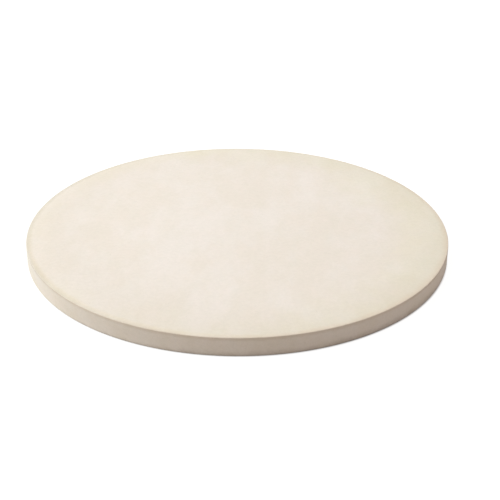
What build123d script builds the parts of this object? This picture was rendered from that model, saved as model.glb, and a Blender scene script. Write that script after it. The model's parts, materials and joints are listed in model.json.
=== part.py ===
from build123d import *
import os
from math import radians, tan

# Round pizza stone: one plate of porous cordierite ceramic, pressed in a mould and fired in one piece.
#
# The plate is a body of revolution about +Z. Its underside lies on z = 0, centred on the origin, and its
# baking face looks up. The whole character of the plate is in its rim, which from the middle outwards is
#   the shoulder, where the flat baking face falls away in a wide shallow arc, so a peel slides on and off,
#   the lip, a small round between the shoulder and the side wall,
#   the side wall, which leans in a little towards the underside, so the pressed blank leaves its mould,
#   the foot, a larger round between the side wall and the underside, so the plate slides onto a wire rack.

# Overall sizes, in millimetres. The diameter is across the lip, where the plate is widest.
stone_diameter = 380.0
stone_thickness = 19.0

# The rim. The shoulder's width and drop are measured to the lip's corner, before that is rounded.
shoulder_width = 30.0
shoulder_drop = 1.4
lip_radius = 0.7
foot_radius = 2.5
wall_draft_degrees = 0.5

PARTS_FOLDER = "parts"


def rim_corners():
    """The points that the rim is drawn through, as (radius, height), before the lip and foot are rounded."""
    wall_radius = stone_diameter / 2
    lip_height = stone_thickness - shoulder_drop
    draft_inset = lip_height * tan(radians(wall_draft_degrees))
    return {
        "flat_end": (wall_radius - shoulder_width, stone_thickness),
        "lip": (wall_radius, lip_height),
        "foot": (wall_radius - draft_inset, 0),
    }


def half_section():
    """The cross-section from the axis out to the side wall, standing on the XZ plane."""
    rim = rim_corners()
    axis_foot, axis_top = (0, 0), (0, stone_thickness)
    underside = Line(axis_foot, rim["foot"])
    side_wall = Line(rim["foot"], rim["lip"])
    shoulder = TangentArc(rim["flat_end"], rim["lip"], tangent=(1, 0))
    baking_face = Line(axis_top, rim["flat_end"])
    axis = Line(axis_foot, axis_top)
    section = make_face([underside, side_wall, shoulder, baking_face, axis])
    for corner, radius in (("lip", lip_radius), ("foot", foot_radius)):
        sharp_corner = section.vertices().sort_by_distance(rim[corner])[0]
        section = fillet(sharp_corner, radius)
    return Plane.XZ * section


def pizza_stone():
    """The plate: its cross-section turned once round the axis."""
    return revolve(half_section(), axis=Axis.Z)


def main():
    os.makedirs(PARTS_FOLDER, exist_ok=True)
    stone = pizza_stone()
    stone.label = "pizza_stone"
    export_step(stone, os.path.join(PARTS_FOLDER, stone.label + ".step"))
    print(stone.label, "size", stone.bounding_box().size, "volume", round(stone.volume), "mm3")


if __name__ == "__main__":
    main()
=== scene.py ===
# %% [markdown]
# # A pizza stone, from plain solid to fired ceramic
# A pizza stone is one round plate of cordierite, a porous ceramic that is pressed dry in a steel mould and
# then fired. It is heavy, pale and quite plain, and that is what makes it a good lesson: with no parts and
# no pattern to look at, everything depends on the softness of its rim, the grain of its skin and the light.
#
# The size and shape of the plate are settled already, in a solid model that this script loads and never
# changes. What is made here stands in the same place and has the same size, and only looks richer.

# %% Load the solid model
import json
import math
import random

import bpy
import numpy as np
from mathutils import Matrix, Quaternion, Vector, noise

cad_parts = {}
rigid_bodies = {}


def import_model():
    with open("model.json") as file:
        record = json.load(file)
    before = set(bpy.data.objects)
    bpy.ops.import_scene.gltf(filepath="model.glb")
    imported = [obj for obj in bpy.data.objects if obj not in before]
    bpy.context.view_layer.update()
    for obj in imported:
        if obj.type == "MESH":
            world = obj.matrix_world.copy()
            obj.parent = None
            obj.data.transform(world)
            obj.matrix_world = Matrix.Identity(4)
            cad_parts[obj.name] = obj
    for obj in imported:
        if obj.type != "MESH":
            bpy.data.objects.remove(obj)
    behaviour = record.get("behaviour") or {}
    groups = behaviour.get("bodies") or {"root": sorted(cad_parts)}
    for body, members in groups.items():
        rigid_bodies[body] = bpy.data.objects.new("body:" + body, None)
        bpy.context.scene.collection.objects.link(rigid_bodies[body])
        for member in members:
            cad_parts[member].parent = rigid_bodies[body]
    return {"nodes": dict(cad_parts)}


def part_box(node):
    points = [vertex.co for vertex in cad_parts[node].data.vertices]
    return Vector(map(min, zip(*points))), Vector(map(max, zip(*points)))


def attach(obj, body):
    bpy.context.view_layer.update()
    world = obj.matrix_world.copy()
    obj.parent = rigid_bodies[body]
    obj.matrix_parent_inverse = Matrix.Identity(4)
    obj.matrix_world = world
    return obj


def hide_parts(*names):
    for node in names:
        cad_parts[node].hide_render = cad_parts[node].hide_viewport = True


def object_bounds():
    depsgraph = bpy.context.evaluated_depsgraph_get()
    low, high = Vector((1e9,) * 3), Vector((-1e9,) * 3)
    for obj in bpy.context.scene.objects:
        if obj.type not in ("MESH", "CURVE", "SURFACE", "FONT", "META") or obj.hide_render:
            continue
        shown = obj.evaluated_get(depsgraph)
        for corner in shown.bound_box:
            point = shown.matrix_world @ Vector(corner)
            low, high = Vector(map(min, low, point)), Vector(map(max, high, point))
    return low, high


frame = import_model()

MM = 0.001
scene = bpy.context.scene
cad_low, cad_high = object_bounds()
print("solid model, mm:", [round(side / MM, 2) for side in cad_high - cad_low])
print("nodes:", sorted(frame["nodes"]))

# %% [markdown]
# ## Where the camera stands
# The picture to match looks down on the stone from about 27 degrees, close enough for the front of the rim
# to look wider than the back. A long lens from a little over a metre gives that mild perspective. The stone
# sits left of the middle and a hair lower on the right, so the camera is turned and rolled by under a
# degree. It could be shifted instead, but a shift follows the camera to every other view, and a turn
# doesn't.

# %% Camera
camera_lens = 90.0
camera_distance = 1.1445
camera_elevation = math.radians(27.13)
camera_aim_down = math.radians(27.29)
camera_aim_right = math.radians(0.6435)
camera_roll = math.radians(0.411)


def direction(right_of_ahead, above_level):
    """A unit vector: ahead is along +Y, and both angles are in radians."""
    level = math.cos(above_level)
    return Vector((level * math.sin(right_of_ahead), level * math.cos(right_of_ahead), math.sin(above_level)))


def side_at(degrees):
    """A level unit vector that points so many degrees to the right of ahead."""
    return direction(math.radians(degrees), 0)


def aimed(vector, roll=0.0):
    """The rotation that points a camera or a lamp along a vector."""
    return vector.to_track_quat("-Z", "Y") @ Quaternion((0, 0, 1), roll)


camera = bpy.data.objects.new("camera", bpy.data.cameras.new("camera"))
scene.collection.objects.link(camera)
camera.data.lens = camera_lens
camera.rotation_mode = "QUATERNION"
camera.location = -camera_distance * direction(0, -camera_elevation)
camera.rotation_quaternion = aimed(direction(camera_aim_right, -camera_aim_down), camera_roll)
scene.camera = camera
scene.view_settings.view_transform = "Standard"
print("camera at, m:", [round(x, 3) for x in camera.location])

# %% [markdown]
# ## Light
# The stone is lit by one big soft lamp, up on the left and a little behind. A small lamp or a sun would
# throw a hard shadow and cut the side wall into a lit half and a dark half. An area lamp this wide lets the
# wall go from light to shade slowly, over about a third of the way round. The lamp is a shade cool and the
# light of the room, which comes from all round, is warm, so the shaded wall turns from cream to tan. The
# two add up to 1 on the baking face, the level at which a surface shows its own colour.

# %% Softbox and room light
softbox_distance = 2.5
softbox_size = (3.0, 3.8)
softbox_elevation = math.radians(38.8)
softbox_behind = math.radians(15.8)
due_left = -math.pi / 2
softbox_watts = 81.4
softbox_color = (0.923, 1.0, 0.963)
room_color = (0.482, 0.438, 0.406)

softbox_data = bpy.data.lights.new("softbox", "AREA")
softbox_data.shape = "RECTANGLE"
softbox_data.size, softbox_data.size_y = softbox_size
softbox_data.energy = softbox_watts
softbox_data.color = softbox_color
softbox = bpy.data.objects.new("softbox", softbox_data)
scene.collection.objects.link(softbox)
to_softbox = direction(due_left + softbox_behind, softbox_elevation)
softbox.location = softbox_distance * to_softbox
softbox.rotation_mode = "QUATERNION"
softbox.rotation_quaternion = aimed(-to_softbox)
softbox.visible_camera = False
print("softbox at, m:", [round(x, 2) for x in softbox.location])

# %% [markdown]
# ## A helper for nodes
# Every material below is a small network of nodes. Adding a node, setting its options and joining its
# inputs takes several lines each time, so one helper does all of that. An input is given as a value or as
# another node's output socket. The kinds of node that come up again and again get a short name each.

# %% Add a node


def add_node(tree, kind, inputs=None, **options):
    """Adds a node to a tree, with its options, and fills its inputs with values or with other sockets."""
    made = tree.nodes.new(kind)
    for name, value in options.items():
        setattr(made, name, value)
    for name, value in (inputs or {}).items():
        if isinstance(value, bpy.types.NodeSocket):
            tree.links.new(value, made.inputs[name])
        else:
            made.inputs[name].default_value = value
    return made


print("helper: add_node")

# %% Short names for common nodes


def sums(tree, operation, first, second=0.0):
    """The output of one Math node."""
    return add_node(tree, "ShaderNodeMath", {0: first, 1: second}, operation=operation).outputs[0]


def vector_sums(tree, operation, first, second=(0.0, 0.0, 0.0)):
    """One Vector Math node. Its result is in the output Vector, or Value where it is a single number."""
    return add_node(tree, "ShaderNodeVectorMath", {0: first, 1: second}, operation=operation).outputs


def fade(tree, value, start, end, at_start, at_end):
    """The output of a Map Range node that goes smoothly from one value to another between start and end."""
    limits = {"Value": value, "From Min": start, "From Max": end, "To Min": at_start, "To Max": at_end}
    return add_node(tree, "ShaderNodeMapRange", limits, interpolation_type="SMOOTHSTEP").outputs["Result"]


def blended(tree, amount, first, second, how="MIX"):
    """The colour output of a Mix node."""
    made = add_node(tree, "ShaderNodeMix", data_type="RGBA", blend_type=how)
    for socket, value in (("Factor_Float", amount), ("A_Color", first), ("B_Color", second)):
        target = next(s for s in made.inputs if s.identifier == socket)
        if isinstance(value, bpy.types.NodeSocket):
            tree.links.new(value, target)
        else:
            target.default_value = value
    return next(s for s in made.outputs if s.identifier == "Result_Color")


def seen_directly(tree):
    """1 for a ray that shows a thing to the eye, straight on, mirrored or through glass, and 0 for light."""
    path = add_node(tree, "ShaderNodeLightPath")
    eye_or_gloss = sums(tree, "MAXIMUM", path.outputs["Is Camera Ray"], path.outputs["Is Glossy Ray"])
    return sums(tree, "MAXIMUM", eye_or_gloss, path.outputs["Is Transmission Ray"])


print("helpers: sums, vector_sums, fade, blended, seen_directly")

# %% [markdown]
# ## The white surroundings
# The picture's background is pure white, but a world that bright would wash out all shading. So the room
# has two faces: it lights the stone with its soft warm glow, and shows plain white to the eye. The floor
# does the same. It bounces light like a pale table top, and to the eye most of it glows white by itself,
# with only enough real shading left to keep the darkest of the stone's shadow. Under the stone the glow
# stops and the floor is plain white paint, or light would seem to leak out below the round of the foot. The
# line where it stops is moved a little to the right, away from the lamp, as the darkest part of a shadow
# is.

# %% Room
white = (1.0, 1.0, 1.0, 1.0)

world = bpy.data.worlds.new("room")
scene.world = world
world.use_nodes = True
room = world.node_tree
room.nodes.clear()
background = add_node(room, "ShaderNodeBackground")
room.links.new(blended(room, seen_directly(room), (*room_color, 1.0), white), background.inputs["Color"])
add_node(room, "ShaderNodeOutputWorld", {"Surface": background.outputs[0]})
print("room nodes:", len(room.nodes))

# %% Floor paint
floor_bounce_color = (0.52, 0.50, 0.48, 1.0)
floor_shadow_color = (0.22, 0.22, 0.22, 1.0)
floor_near_color = (0.86, 0.85, 0.84, 1.0)
floor_glow = 0.92
glow_start_inset, glow_full_inset = 2.9 * MM, 0.1 * MM
glow_start, glow_full = cad_high.x - glow_start_inset, cad_high.x - glow_full_inset
shadow_side, shadow_shift = side_at(72), 1.2 * MM

floor_material = bpy.data.materials.new("pale_floor")
floor_material.use_nodes = True
paint = floor_material.node_tree
paint.nodes.clear()
bounce = add_node(paint, "ShaderNodeBsdfDiffuse", {"Color": floor_bounce_color})
floor_place = add_node(paint, "ShaderNodeTexCoord").outputs["Object"]
from_middle = vector_sums(paint, "DISTANCE", floor_place, shadow_shift * shadow_side)["Value"]
open_floor = fade(paint, from_middle, glow_start, glow_full, 0.0, 1.0)
shown_color = blended(paint, open_floor, floor_near_color, floor_shadow_color)
shadow_catcher = add_node(paint, "ShaderNodeBsdfDiffuse", {"Color": shown_color})
glow_strength = sums(paint, "MULTIPLY", open_floor, floor_glow)
glow = add_node(paint, "ShaderNodeEmission", {"Color": white, "Strength": glow_strength})
to_the_eye = add_node(paint, "ShaderNodeAddShader", {0: shadow_catcher.outputs[0], 1: glow.outputs[0]})
chosen = add_node(paint, "ShaderNodeMixShader",
                  {0: seen_directly(paint), 1: bounce.outputs[0], 2: to_the_eye.outputs[0]})
add_node(paint, "ShaderNodeOutputMaterial", {"Surface": chosen.outputs[0]})
print("floor glows fully from, mm:", round(glow_full / MM, 2))

# %% Floor
floor_half_width = 6.0
floor_gap = 0.2 * MM
corner_signs = ((-1, -1), (1, -1), (1, 1), (-1, 1))
floor_corners = [(x * floor_half_width, y * floor_half_width, 0.0) for x, y in corner_signs]
floor_mesh = bpy.data.meshes.new("floor")
floor_mesh.from_pydata(floor_corners, [], [(0, 1, 2, 3)])
floor_mesh.materials.append(floor_material)
floor = bpy.data.objects.new("floor", floor_mesh)
floor.location.z = cad_low.z - floor_gap
scene.collection.objects.link(floor)
print("floor level, mm:", round(floor.location.z / MM, 2))

# %% [markdown]
# ## The section of the plate
# Cut through, the plate is a long thin bar, and its whole character is at the end. The top falls away over
# a wide shallow shoulder, turns over a small lip, drops down a wall that leans in by half a degree, and
# ends in a larger round at the foot. Each stretch runs smoothly into the next, so there is no line where
# the light jumps. A bevel on a cylinder could make the lip and the foot, but not the shoulder, so the
# section is written as a row of points, with every round as an arc. The overall size comes from the solid
# model.

# %% Sizes of the section
plate_low, plate_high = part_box("pizza_stone")
plate_radius = min(plate_high.x, plate_high.y, -plate_low.x, -plate_low.y)
plate_top = plate_high.z
plate_base = plate_low.z
shoulder_width = 30.0 * MM
shoulder_drop = 1.4 * MM
lip_radius = 0.7 * MM
foot_radius = 2.5 * MM
wall_draft = math.radians(0.5)

shoulder_radius = (shoulder_width**2 + shoulder_drop**2) / (2 * shoulder_drop)
shoulder_centre = (plate_radius - shoulder_width, plate_top - shoulder_radius)
lip_reach = shoulder_width - lip_radius
lip_rise = math.sqrt((shoulder_radius - lip_radius) ** 2 - lip_reach**2)
lip_centre = (plate_radius - lip_radius, shoulder_centre[1] + lip_rise)
shoulder_end = math.atan2(lip_rise, lip_reach)
wall_inset = (lip_centre[1] - plate_base - foot_radius) * math.tan(wall_draft)
foot_centre = (plate_radius - wall_inset - foot_radius, plate_base + foot_radius)
print("shoulder falls at the lip by, degrees:", round(90 - math.degrees(shoulder_end), 2))

# %% Points of the section
FOOT_STEPS, WALL_STEPS, LIP_STEPS, SHOULDER_STEPS = 9, 13, 10, 12


def arc(centre, radius, start, end, steps):
    """Points of the section along an arc, with both ends, as (distance from the axis, height)."""
    turns = np.linspace(start, end, steps + 1)
    return [(centre[0] + radius * math.cos(t), centre[1] + radius * math.sin(t)) for t in turns]


def straight(start, end, steps):
    """Points of the section along a straight line, without its two ends."""
    shares = np.linspace(0, 1, steps + 1)[1:-1]
    return [(start[0] + (end[0] - start[0]) * s, start[1] + (end[1] - start[1]) * s) for s in shares]


foot_points = arc(foot_centre, foot_radius, -math.pi / 2, 0, FOOT_STEPS)
lip_points = arc(lip_centre, lip_radius, 0, shoulder_end, LIP_STEPS)
wall_points = straight(foot_points[-1], lip_points[0], WALL_STEPS)
shoulder_points = arc(shoulder_centre, shoulder_radius, shoulder_end, math.pi / 2, SHOULDER_STEPS)[1:]
print("points on the foot, wall, lip and shoulder:",
      [len(points) for points in (foot_points, wall_points, lip_points, shoulder_points)])

# %% [markdown]
# ## Rings of points
# The section is turned round the axis as a set of rings. The rim needs many points in each ring, to look
# round from close by and to hold small marks. Towards the middle the same number would crowd together in a
# pinched star, so each time the rings get half as wide they get half as many points. Where two such rings
# meet, the faces between them have five corners.

# %% Rings
RIM_SEGMENTS = 960
FEWEST_SEGMENTS = 30
flat_spacing = 5.0 * MM
first_halving_share = 0.8


def segments_at(radius):
    """How many points a ring of that radius has: the rim's number, halved each time the radius halves."""
    halvings = max(0, math.ceil(math.log2(first_halving_share * plate_radius / radius)))
    return max(FEWEST_SEGMENTS, RIM_SEGMENTS // 2**halvings)


def flat_radii(outermost):
    """The radii of evenly spaced rings on a flat, from the middle outwards, short of its outermost ring."""
    count = round(outermost / flat_spacing)
    return [outermost * (i + 1) / count for i in range(count - 1)]


underside_flat = [(r, plate_base) for r in flat_radii(foot_points[0][0])]
baking_flat = [(r, plate_top) for r in reversed(flat_radii(shoulder_points[-1][0]))]
section = underside_flat + foot_points + wall_points + lip_points + shoulder_points + baking_flat
first_wall_ring = len(underside_flat)
first_face_ring = first_wall_ring + len(foot_points) + len(wall_points) + len(lip_points) - 1
ring_segments = [segments_at(r) for r, _ in section]
print("rings:", len(section), "points in each:", sorted(set(ring_segments), reverse=True))

# %% [markdown]
# ## What pressing and handling leave behind
# A fired plate is never quite true. It warps by a few hundredths of a millimetre, its skin ripples where
# the powder packed unevenly, its lip and foot are rubbed, and a few grains have broken out of both edges.
# These are moves of real points, because a bump in a material doesn't change an outline. They all go
# inwards, so the plate never grows past its size.

# %% Chips
chip_count, chip_seed = 26, 7
chip_depth_range = (0.06 * MM, 0.20 * MM)
chip_width_range = (1.3 * MM, 2.2 * MM)
lip_ring = (plate_radius, plate_top - shoulder_drop)
foot_ring = (plate_radius - wall_inset, plate_base)


def make_chips():
    """Places on the lip and the foot where grains broke out, as (place, depth, width)."""
    chance = random.Random(chip_seed)
    chips = []
    for _ in range(chip_count):
        ring = chance.choice((lip_ring, foot_ring, foot_ring))
        turn = chance.uniform(0, 2 * math.pi)
        place = Vector((ring[0] * math.cos(turn), ring[0] * math.sin(turn), ring[1]))
        chips.append((place, chance.uniform(*chip_depth_range), chance.uniform(*chip_width_range)))
    return chips


chips = make_chips()
print("chips:", len(chips), "deepest, mm:", round(max(chip[1] for chip in chips) / MM, 2))

# %% Uneven skin
warp_depth, warp_length = 0.06 * MM, 90 * MM
ripple_depth, ripple_length = 0.03 * MM, 14 * MM
rub_depth, rub_length, rub_reach = 0.10 * MM, 5 * MM, 3.0 * MM


def depth_of(point, length, deepest):
    """An uneven depth from 0 to deepest that comes and goes over about that length."""
    return deepest * (0.5 + 0.5 * noise.noise(point / length))


def nearness(radius, height, ring, reach):
    """1 at a ring of the rim, falling smoothly to 0 at that distance from it."""
    share = min(1.0, math.hypot(radius - ring[0], height - ring[1]) / reach)
    return (1 - share) ** 2 * (1 + 2 * share)


def sunk_by(point, radius, height):
    """How far a point of the surface lies below the true form."""
    depth = depth_of(point, warp_length, warp_depth) + depth_of(point, ripple_length, ripple_depth)
    edge = max(nearness(radius, height, ring, rub_reach) for ring in (lip_ring, foot_ring))
    if edge > 0:
        depth += edge * depth_of(point, rub_length, rub_depth)
        for place, chip_depth, chip_width in chips:
            depth += chip_depth * math.exp(-((point - place).length / chip_width) ** 2)
    return depth


middle_of_face = Vector((0, 0, plate_top))
print("middle of the baking face is sunk by, mm:", round(sunk_by(middle_of_face, 0, plate_top) / MM, 3))

# %% [markdown]
# ## The mesh
# All points and faces are listed first and given to Blender in one go, which is far quicker than adding
# them one at a time. The plate is closed: two fans of triangles shut it at the axis. Each face also gets
# one of three materials, since the mould leaves each side of a pressed plate with a skin of its own.

# %% Points of the plate


def outward_at(index):
    """The direction out of the section at one of its points, as (out, up)."""
    before = section[index - 1] if index > 0 else (0.0, plate_base)
    after = section[index + 1] if index + 1 < len(section) else (0.0, plate_top)
    along = Vector((after[0] - before[0], after[1] - before[1])).normalized()
    return along.y, -along.x


def plate_points():
    """Every point of the mesh, ring after ring, with the two middle points last."""
    points = []
    for index, (radius, height) in enumerate(section):
        out, up = outward_at(index)
        for turn in np.arange(ring_segments[index]) * (2 * math.pi / ring_segments[index]):
            c, s = math.cos(turn), math.sin(turn)
            point = Vector((radius * c, radius * s, height))
            points.append(point - sunk_by(point, radius, height) * Vector((out * c, out * s, up)))
    for height, up in ((plate_base, -1), (plate_top, 1)):
        point = Vector((0, 0, height))
        points.append(point - sunk_by(point, 0, height) * Vector((0, 0, up)))
    return points


points = plate_points()
print("points:", len(points))

# %% Faces of the plate


def faces_between(start_a, count_a, start_b, count_b):
    """The faces between two rings, where one may have twice as many points as the other."""
    faces = []
    fewer = min(count_a, count_b)
    for k in range(fewer):
        side_a = [start_a + (k * count_a // fewer + i) % count_a for i in range(count_a // fewer + 1)]
        side_b = [start_b + (k * count_b // fewer + i) % count_b for i in range(count_b // fewer + 1)]
        faces.append(side_a + side_b[::-1])
    return faces


def plate_faces():
    """Every face of the mesh and the number of its material: 0 underside, 1 side wall, 2 baking face."""
    starts = [sum(ring_segments[:i]) for i in range(len(section) + 1)]
    base_middle, top_middle = starts[-1], starts[-1] + 1
    first, last = ring_segments[0], ring_segments[-1]
    faces = [[base_middle, (k + 1) % first, k] for k in range(first)]
    materials = [0] * first
    for i in range(len(section) - 1):
        band = faces_between(starts[i], ring_segments[i], starts[i + 1], ring_segments[i + 1])
        faces += band
        materials += [0 if i < first_wall_ring else 1 if i < first_face_ring else 2] * len(band)
    faces += [[starts[-2] + k, starts[-2] + (k + 1) % last, top_middle] for k in range(last)]
    return faces, materials + [2] * last


faces, face_materials = plate_faces()
print("faces:", len(faces))

# %% Plate mesh
plate_mesh = bpy.data.meshes.new("stone_plate")
plate_mesh.from_pydata(points, [], faces)
plate_mesh.polygons.foreach_set("use_smooth", [True] * len(faces))
plate = bpy.data.objects.new("stone_plate", plate_mesh)
scene.collection.objects.link(plate)
triangles = sum(len(face) - 2 for face in faces)
print("plate mesh:", len(plate_mesh.vertices), "points,", triangles, "triangles")

# %% [markdown]
# ## Fired clay, from far and near
# From a step away the stone is an even cream. Nearer, it drifts between a pale and a toasted cream in soft
# blotches, and in smaller clouds that are lighter and pinker or darker and greener. The powder is swept
# into the mould in one direction, so these are drawn out along it. Nearer still there is a grain like fine
# sandpaper, the sand that the clay is thinned with, and a scatter of slightly darker and paler specks of
# crushed ceramic. Noise textures make the blotches, clouds and grain, and a Voronoi texture makes the sand
# and specks, by keeping only the middle of each of its cells. A photograph could be wrapped round the plate
# instead, but it would blur from close by and bring its own light and seams. One node group holds all of
# this and each skin of the plate uses it with its own amounts, so the skins look like one body. The group
# places everything in metres, by the object's own coordinates.

# %% Sockets of a node group


def new_group(name, inputs, outputs):
    """An empty node group with named sockets, and the nodes at its two ends."""
    group = bpy.data.node_groups.new(name, "ShaderNodeTree")
    for title, kind, value in inputs:
        socket = group.interface.new_socket(name=title, in_out="INPUT", socket_type=kind)
        if value is not None:
            socket.default_value = value
    for title, kind in outputs:
        group.interface.new_socket(name=title, in_out="OUTPUT", socket_type=kind)
    return group, add_node(group, "NodeGroupInput").outputs, add_node(group, "NodeGroupOutput").inputs


NUMBER, VECTOR, COLOR = "NodeSocketFloat", "NodeSocketVector", "NodeSocketColor"
print("helper: new_group")

# %% Noise and dots
noise_mean = 0.5
solid_share_of_dot = 0.5


def noise_at(tree, position, length, detail=2.0, roughness=0.5):
    """A Noise Texture whose features are about that long. It runs from 0 to 1."""
    scale = sums(tree, "DIVIDE", 1.0, length)
    settings = {"Vector": position, "Scale": scale, "Detail": detail, "Roughness": roughness}
    return add_node(tree, "ShaderNodeTexNoise", settings).outputs["Fac"]


def dots_at(tree, position, spacing, size):
    """Round dots scattered through space: a mask that is 1 inside a dot, and a random number for each dot."""
    scale = sums(tree, "DIVIDE", 1.0, spacing)
    cells = add_node(tree, "ShaderNodeTexVoronoi", {"Vector": position, "Scale": scale})
    distance = sums(tree, "MULTIPLY", cells.outputs["Distance"], spacing)
    mask = fade(tree, distance, sums(tree, "MULTIPLY", size, solid_share_of_dot), size, 1.0, 0.0)
    return mask, add_node(tree, "ShaderNodeSeparateColor", {"Color": cells.outputs["Color"]}).outputs[0]


def varied_by(tree, texture, mean, contrast):
    """How far a texture is from its mean, times a contrast."""
    return sums(tree, "MULTIPLY", sums(tree, "SUBTRACT", texture, mean), contrast)


print("helpers: noise_at, dots_at, varied_by")

# %% Node group: fired body
sweep_squeeze = (1.0, 0.55, 1.0)
cloud_lean = (1.0, 0.5, 0.9)
blotch_edges = (0.35, 0.65)
grain_spread = (0.25, 0.75)
roughness_of_pits, roughness_of_grains = 0.97, 0.87
neutral_speck, neutral_sand = 0.7, 0.5
sand_grain_share = 0.45


def make_fired_body():
    """Colour and roughness of the fired clay: blotches, clouds, grain and specks."""
    group, given, result = new_group(
        "fired_body",
        [("Position", VECTOR, None),
         ("Pale Cream", COLOR, white), ("Toasted Cream", COLOR, white), ("Blotch Length", NUMBER, 0.02),
         ("Cloud Contrast", NUMBER, 0.05), ("Cloud Length", NUMBER, 0.02),
         ("Grain Contrast", NUMBER, 0.03), ("Grain Length", NUMBER, 0.001),
         ("Sand Contrast", NUMBER, 0.1), ("Sand Spacing", NUMBER, 0.0007),
         ("Speck Contrast", NUMBER, 0.2), ("Speck Spacing", NUMBER, 0.004), ("Speck Size", NUMBER, 0.0005)],
        [("Color", COLOR), ("Roughness", NUMBER)])
    position = given["Position"]
    swept = vector_sums(group, "MULTIPLY", position, sweep_squeeze)["Vector"]
    patches = noise_at(group, swept, given["Blotch Length"], detail=6.0, roughness=0.66)
    blotch = fade(group, patches, *blotch_edges, 0.0, 1.0)
    tone = blended(group, blotch, given["Pale Cream"], given["Toasted Cream"])

    cloud = noise_at(group, swept, given["Cloud Length"], detail=5.0, roughness=0.75)
    cloud_change = varied_by(group, cloud, noise_mean, given["Cloud Contrast"])
    cloud_drift = vector_sums(group, "MULTIPLY", cloud_change, cloud_lean)["Vector"]

    grain = noise_at(group, position, given["Grain Length"], detail=5.0)
    grain_change = varied_by(group, grain, noise_mean, given["Grain Contrast"])
    speck, speck_shade = dots_at(group, position, given["Speck Spacing"], given["Speck Size"])
    speck_change = sums(group, "MULTIPLY", speck,
                        varied_by(group, speck_shade, neutral_speck, given["Speck Contrast"]))
    sand_size = sums(group, "MULTIPLY", given["Sand Spacing"], sand_grain_share)
    sand, sand_shade = dots_at(group, position, given["Sand Spacing"], sand_size)
    sand_change = sums(group, "MULTIPLY", sand,
                       varied_by(group, sand_shade, neutral_sand, given["Sand Contrast"]))

    fine_change = sums(group, "ADD", sums(group, "ADD", grain_change, sand_change), speck_change)
    brightness = vector_sums(group, "ADD", sums(group, "ADD", fine_change, 1.0), cloud_drift)["Vector"]
    group.links.new(vector_sums(group, "MULTIPLY", tone, brightness)["Vector"], result["Color"])
    roughness = fade(group, grain, *grain_spread, roughness_of_pits, roughness_of_grains)
    group.links.new(roughness, result["Roughness"])
    return group


fired_body = make_fired_body()
print("group fired_body:", [item.name for item in fired_body.interface.items_tree])

# %% [markdown]
# ## The relief of the skin
# Pressed powder keeps the shape of its grains and of the air between them: a low grain all over, with
# pinholes where a bubble reached the mould. Both are far too small for the mesh. They go into a group that
# gives a height in millimetres, for a Bump node in each material, and a mask of the pinholes, whose insides
# are darkened with painted shade.

# %% Node group: pressed skin


def make_pressed_skin():
    """Height of the skin in millimetres, with pinholes, and a mask of the pinholes."""
    group, given, result = new_group(
        "pressed_skin",
        [("Position", VECTOR, None),
         ("Grain Height", NUMBER, 0.02), ("Grain Length", NUMBER, 0.0012),
         ("Pinhole Spacing", NUMBER, 0.006), ("Pinhole Size", NUMBER, 0.0005),
         ("Pinhole Depth", NUMBER, 0.2)],
        [("Height", NUMBER), ("Pinholes", NUMBER)])
    grain = noise_at(group, given["Position"], given["Grain Length"], detail=4.0)
    hole, _ = dots_at(group, given["Position"], given["Pinhole Spacing"], given["Pinhole Size"])
    raised = sums(group, "MULTIPLY", grain, given["Grain Height"])
    sunk = sums(group, "MULTIPLY", hole, given["Pinhole Depth"])
    group.links.new(sums(group, "SUBTRACT", raised, sunk), result["Height"])
    group.links.new(hole, result["Pinholes"])
    return group


pressed_skin = make_pressed_skin()
print("group pressed_skin:", [item.name for item in pressed_skin.interface.items_tree])

# %% [markdown]
# ## Toasted, greyed and shaded edges
# In the kiln the outer part of a plate gets hotter than its middle. It is warmer on the side that stood
# nearer the flame and browner over the lip. The face is also a little darker over a wide band towards the
# rim, and the lip greyer on one side. The wall carries painted shade in a narrow band under the overhang of
# the lip and towards the foot. All of these are bands round the rim that differ only in place, width and
# colour, so a third group tints a colour near one ring, given by the ring's radius and height. A band can
# be strongest on one side: Lopsided says how much it thins out on the way round from there.

# %% Node group: ring tint


def make_ring_tint():
    """Multiplies a colour by a tint near a ring round the axis, fading to nothing at its reach."""
    group, given, result = new_group(
        "ring_tint",
        [("Color", COLOR, white), ("Position", VECTOR, None), ("Ring Radius", NUMBER, 0.1),
         ("Ring Height", NUMBER, 0.0), ("Reach", NUMBER, 0.01), ("Tint", COLOR, white),
         ("Unevenness", NUMBER, 0.3), ("Patch Length", NUMBER, 0.03),
         ("Strong Side", VECTOR, None), ("Lopsided", NUMBER, 0.0)],
        [("Color", COLOR)])
    axes = add_node(group, "ShaderNodeSeparateXYZ", {0: given["Position"]})
    level = add_node(group, "ShaderNodeCombineXYZ", {0: axes.outputs["X"], 1: axes.outputs["Y"]})
    radius = vector_sums(group, "LENGTH", level.outputs[0])["Value"]
    out = sums(group, "SUBTRACT", radius, given["Ring Radius"])
    up = sums(group, "SUBTRACT", axes.outputs["Z"], given["Ring Height"])
    squares = sums(group, "ADD", sums(group, "MULTIPLY", out, out), sums(group, "MULTIPLY", up, up))
    share = sums(group, "DIVIDE", sums(group, "SQRT", squares), given["Reach"])
    patches = noise_at(group, given["Position"], given["Patch Length"], detail=4.0)
    uneven_share = sums(group, "ADD", share, varied_by(group, patches, noise_mean, given["Unevenness"]))
    toward = vector_sums(group, "DOT_PRODUCT", given["Position"], given["Strong Side"])["Value"]
    away = sums(group, "SUBTRACT", 1.0, sums(group, "DIVIDE", toward, plate_radius))
    thinned_share = sums(group, "ADD", uneven_share, sums(group, "MULTIPLY", away, given["Lopsided"]))
    mask = fade(group, thinned_share, 0.0, 1.0, 1.0, 0.0)
    tinted = blended(group, mask, given["Color"], given["Tint"], how="MULTIPLY")
    group.links.new(tinted, result["Color"])
    return group


ring_tint = make_ring_tint()
print("group ring_tint:", [item.name for item in ring_tint.interface.items_tree])

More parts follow.
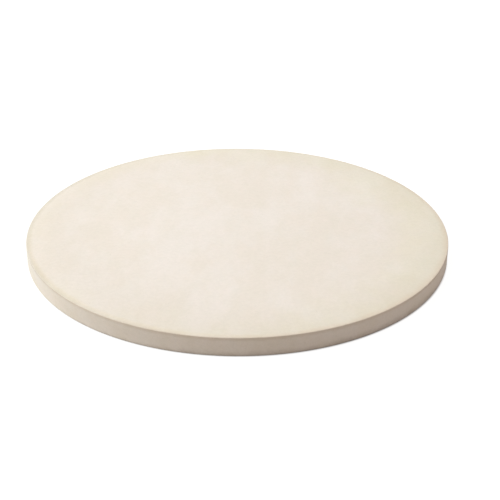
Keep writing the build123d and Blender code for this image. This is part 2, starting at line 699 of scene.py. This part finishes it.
# %% [markdown]
# ## Three skins of one body
# Each material starts the same way, with the fired body, its relief, the pinholes and any number of tinted
# rings, so one function makes all three from a short list of their own amounts. Dry clay has hardly any
# shine: its roughness is near 1, and a low specular level takes off what is left of a wet look. That level
# is the same all over, so it is set on the shader itself.

# %% Shared skin
pale_cream = (0.925, 0.855, 0.819, 1.0)
toasted_cream = (0.899, 0.821, 0.761, 1.0)
wall_pale_cream = (0.941, 0.850, 0.775, 1.0)
wall_toasted_cream = (0.918, 0.820, 0.725, 1.0)
# Painted shade: this tint darkens the insides of the pinholes.
pinhole_shade = (0.76, 0.72, 0.66, 1.0)
specular_level = 0.2


def group_node(tree, group, inputs):
    """Places a node group in a tree."""
    return add_node(tree, "ShaderNodeGroup", inputs, node_tree=group)


def make_skin(name, body, relief, rings, marks=None):
    """A material of the stone: amounts for the body and the relief, rings of tint, and marks of its own."""
    material = bpy.data.materials.new(name)
    material.use_nodes = True
    tree = material.node_tree
    tree.nodes.clear()
    position = add_node(tree, "ShaderNodeTexCoord").outputs["Object"]
    clay = group_node(tree, fired_body, {"Position": position, "Pale Cream": pale_cream,
                                         "Toasted Cream": toasted_cream, **body})
    skin = group_node(tree, pressed_skin, {"Position": position, **relief})
    # Painted shade inside the pinholes.
    color = blended(tree, skin.outputs["Pinholes"], clay.outputs["Color"], pinhole_shade, how="MULTIPLY")
    for (radius, height), amounts in rings:
        place = {"Color": color, "Position": position, "Ring Radius": radius, "Ring Height": height}
        color = group_node(tree, ring_tint, {**place, **amounts}).outputs["Color"]
    height = skin.outputs["Height"]
    if marks:
        height = sums(tree, "ADD", height, marks(tree, position))
    bump = add_node(tree, "ShaderNodeBump", {"Height": height, "Distance": MM})
    shader = add_node(tree, "ShaderNodeBsdfPrincipled",
                      {"Base Color": color, "Roughness": clay.outputs["Roughness"], "Normal": bump.outputs[0],
                       "Specular IOR Level": specular_level})
    add_node(tree, "ShaderNodeOutputMaterial", {"Surface": shader.outputs[0]})
    return material


print("three skins will share the groups", [g.name for g in (fired_body, pressed_skin, ring_tint)])

# %% [markdown]
# ## The baking face
# The polished upper punch leaves the baking face the smoothest of the three, with a grain that shows only
# when the light is low. Towards the rim it darkens a little, most of all on its left side, and warms on the
# flame's side. Its last few millimetres, over the lip, are greyer on one side and toasted on the other,
# with a trace of yellow ash just inside the lip between the two. Such rings could be painted by hand, but
# given as sizes they fit the rim exactly and are easy to change, so the whole face is a list of amounts for
# the three groups.

# %% Bands of the baking face
rim_shade_side, flame_side = side_at(-100), side_at(80)
lip_grey_side, ash_side, toasted_side = side_at(-75), side_at(-135), side_at(110)

# Darker towards the rim over a wide band, most of all on the left.
rim_shade = {"Reach": 110 * MM, "Tint": (0.950, 0.942, 0.918, 1.0),
             "Unevenness": 0.6, "Patch Length": 60 * MM, "Strong Side": rim_shade_side, "Lopsided": 0.25}
rim_warmth = {"Reach": 90 * MM, "Tint": (0.985, 0.998, 0.925, 1.0),
              "Unevenness": 1.2, "Patch Length": 40 * MM, "Strong Side": flame_side, "Lopsided": 0.4}
# Greyer over the lip, strongest on its left side.
lip_greying = {"Reach": 7.0 * MM, "Tint": (0.87, 0.87, 0.845, 1.0),
            "Unevenness": 0.6, "Patch Length": 12 * MM, "Strong Side": lip_grey_side, "Lopsided": 0.45}
lip_ash = {"Reach": 5.0 * MM, "Tint": (0.990, 0.972, 0.925, 1.0),
           "Unevenness": 0.6, "Patch Length": 12 * MM, "Strong Side": ash_side, "Lopsided": 1.4}
lip_toast = {"Reach": 8.0 * MM, "Tint": (0.97, 0.92, 0.89, 1.0),
             "Unevenness": 0.6, "Patch Length": 12 * MM, "Strong Side": toasted_side, "Lopsided": 0.5}
ash_inset = 3.0 * MM
ash_ring = (plate_radius - ash_inset, plate_top - shoulder_drop)
print("bands of the baking face reach in by, mm:",
      [round(band["Reach"] / MM) for band in (rim_shade, rim_warmth, lip_greying, lip_ash, lip_toast)])

# %% Baking face
baking_skin = make_skin(
    "baking_face",
    body={"Blotch Length": 46 * MM, "Cloud Contrast": 0.09, "Cloud Length": 15 * MM,
          "Grain Contrast": 0.10, "Grain Length": 3.0 * MM, "Sand Contrast": 0.09, "Sand Spacing": 0.7 * MM,
          "Speck Contrast": 0.10, "Speck Spacing": 4.5 * MM, "Speck Size": 0.5 * MM},
    relief={"Grain Height": 0.045, "Grain Length": 0.8 * MM,
            "Pinhole Spacing": 9 * MM, "Pinhole Size": 0.35 * MM, "Pinhole Depth": 0.10},
    rings=[(lip_ring, rim_shade), (lip_ring, rim_warmth), (lip_ring, lip_greying), (lip_ring, lip_toast),
           (ash_ring, lip_ash)])
print("material", baking_skin.name, "nodes:", len(baking_skin.node_tree.nodes))

# %% [markdown]
# ## The side wall
# The wall slides along the steel as the plate is pushed out of its mould. That drags its grains into short
# upright streaks. A noise texture makes streaks if its space is squeezed: here the way round the rim is
# measured in millimetres and the way up in centimetres. The wall is also more open than the baking face, so
# it has more and larger pinholes. Its colour carries painted shade on the front, away from the lamp, and
# painted light at its left end, where the lamp lights it, in a cooler and slightly darker tone.

# %% Drag marks
drag_width, drag_length, drag_height = 0.9 * MM, 9.0 * MM, 0.040


def drag_marks(tree, position):
    """Height of the upright streaks on the wall, in millimetres."""
    axes = add_node(tree, "ShaderNodeSeparateXYZ", {0: position})
    turn = sums(tree, "ARCTAN2", axes.outputs["Y"], axes.outputs["X"])
    around = sums(tree, "MULTIPLY", turn, plate_radius / drag_width)
    upward = sums(tree, "MULTIPLY", axes.outputs["Z"], 1 / drag_length)
    streaks = add_node(tree, "ShaderNodeTexNoise",
                       {"Vector": add_node(tree, "ShaderNodeCombineXYZ", {0: around, 1: upward}).outputs[0],
                        "Scale": 1.0, "Detail": 2.0})
    return sums(tree, "MULTIPLY", streaks.outputs["Fac"], drag_height)


print("drag marks, mm wide and long:", round(drag_width / MM, 2), round(drag_length / MM, 2))

# %% Bands of the side wall
shaded_side, lamp_lit_side, lip_shade_side, foot_shade_side = side_at(180), side_at(-90), side_at(165), side_at(125)

# Painted shade: the front of the wall, which faces away from the lamp, is darkened.
wall_shade = {"Reach": 110 * MM, "Tint": (0.920, 0.920, 0.920, 1.0),
              "Unevenness": 0.6, "Patch Length": 60 * MM, "Strong Side": shaded_side, "Lopsided": 1.4}
# Painted light: where the lamp lights the left end of the wall, its tone is made cooler and a little darker.
wall_painted_light = {"Reach": 110 * MM, "Tint": (0.93, 0.96, 1.0, 1.0),
              "Unevenness": 0.3, "Patch Length": 60 * MM, "Strong Side": lamp_lit_side, "Lopsided": 4.5}
# The wall just under the lip greys the same way.
wall_top_greying = {**lip_greying, "Reach": 2.5 * MM}
# Painted shade: a dark band just under the overhang of the lip, strongest at the front.
lip_overhang_shade = {"Reach": 3.0 * MM, "Tint": (0.90, 0.865, 0.825, 1.0),
                "Unevenness": 0.6, "Patch Length": 8 * MM, "Strong Side": lip_shade_side, "Lopsided": 0.4}
# Painted shade: darker towards the foot, most of all at the front and right, away from the lamp.
foot_shade = {"Reach": 8.0 * MM, "Tint": (0.74, 0.73, 0.72, 1.0),
             "Unevenness": 0.8, "Patch Length": 10 * MM, "Strong Side": foot_shade_side, "Lopsided": 0.4}
lip_shade_drop = 0.3 * lip_radius
lip_shade_ring = (plate_radius, lip_centre[1] - lip_shade_drop)
print("shade line under the lip is below the top by, mm:", round((plate_top - lip_shade_ring[1]) / MM, 2))

# %% Side wall
wall_skin = make_skin(
    "side_wall",
    body={"Pale Cream": wall_pale_cream, "Toasted Cream": wall_toasted_cream, "Blotch Length": 18 * MM,
          "Cloud Contrast": 0.10, "Cloud Length": 12 * MM,
          "Grain Contrast": 0.09, "Grain Length": 2.2 * MM, "Sand Contrast": 0.12, "Sand Spacing": 0.8 * MM,
          "Speck Contrast": 0.14, "Speck Spacing": 4.0 * MM, "Speck Size": 0.55 * MM},
    relief={"Grain Height": 0.070, "Grain Length": 0.9 * MM,
            "Pinhole Spacing": 8 * MM, "Pinhole Size": 0.4 * MM, "Pinhole Depth": 0.15},
    rings=[(lip_ring, wall_shade), (lip_ring, wall_painted_light), (lip_ring, wall_top_greying),
           (lip_shade_ring, lip_overhang_shade), (foot_ring, foot_shade)],
    marks=drag_marks)
print("material", wall_skin.name, "nodes:", len(wall_skin.node_tree.nodes))

# %% [markdown]
# ## The underside
# The underside stood on a sanded shelf in the kiln. It is the coarsest skin, with the print of the sand in
# it, and it is rubbed grey where the foot slides over a rack. The print is one more noise, added to the
# height that the Bump node reads, because real hollows that small would take a mesh of millions of points.

# %% Sand print
sand_length, sand_height = 2.6 * MM, 0.05


def sand_print(tree, position):
    """Height of the print that the kiln shelf's sand left, in millimetres."""
    return sums(tree, "MULTIPLY", noise_at(tree, position, sand_length), sand_height)


print("sand print, mm long and high:", round(sand_length / MM, 2), sand_height)

# %% Underside
rack_rub = {"Reach": 14 * MM, "Tint": (0.93, 0.915, 0.90, 1.0), "Unevenness": 1.0, "Patch Length": 18 * MM}

base_skin = make_skin(
    "underside",
    body={"Blotch Length": 34 * MM, "Cloud Contrast": 0.08, "Cloud Length": 20 * MM,
          "Grain Contrast": 0.10, "Grain Length": 2.6 * MM, "Sand Contrast": 0.14, "Sand Spacing": 0.9 * MM,
          "Speck Contrast": 0.16, "Speck Spacing": 4.0 * MM, "Speck Size": 0.6 * MM},
    relief={"Grain Height": 0.085, "Grain Length": 1.1 * MM,
            "Pinhole Spacing": 7 * MM, "Pinhole Size": 0.55 * MM, "Pinhole Depth": 0.2},
    # The painted shade near the foot darkens the underside next to the foot too.
    rings=[(foot_ring, rack_rub), (foot_ring, foot_shade)],
    marks=sand_print)
print("material", base_skin.name, "nodes:", len(base_skin.node_tree.nodes))

# %% [markdown]
# ## Put the plate in its place
# The three materials go on in the order that the faces name them. Then the plate takes the place of the
# plain solid, which stays in the model for physics but is no longer shown.

# %% Dress the plate
for skin in (base_skin, wall_skin, baking_skin):
    plate_mesh.materials.append(skin)
plate_mesh.polygons.foreach_set("material_index", face_materials)
plate_mesh.update()

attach(plate, "root")
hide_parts("pizza_stone")
print("faces on each skin:", [face_materials.count(i) for i in range(3)])
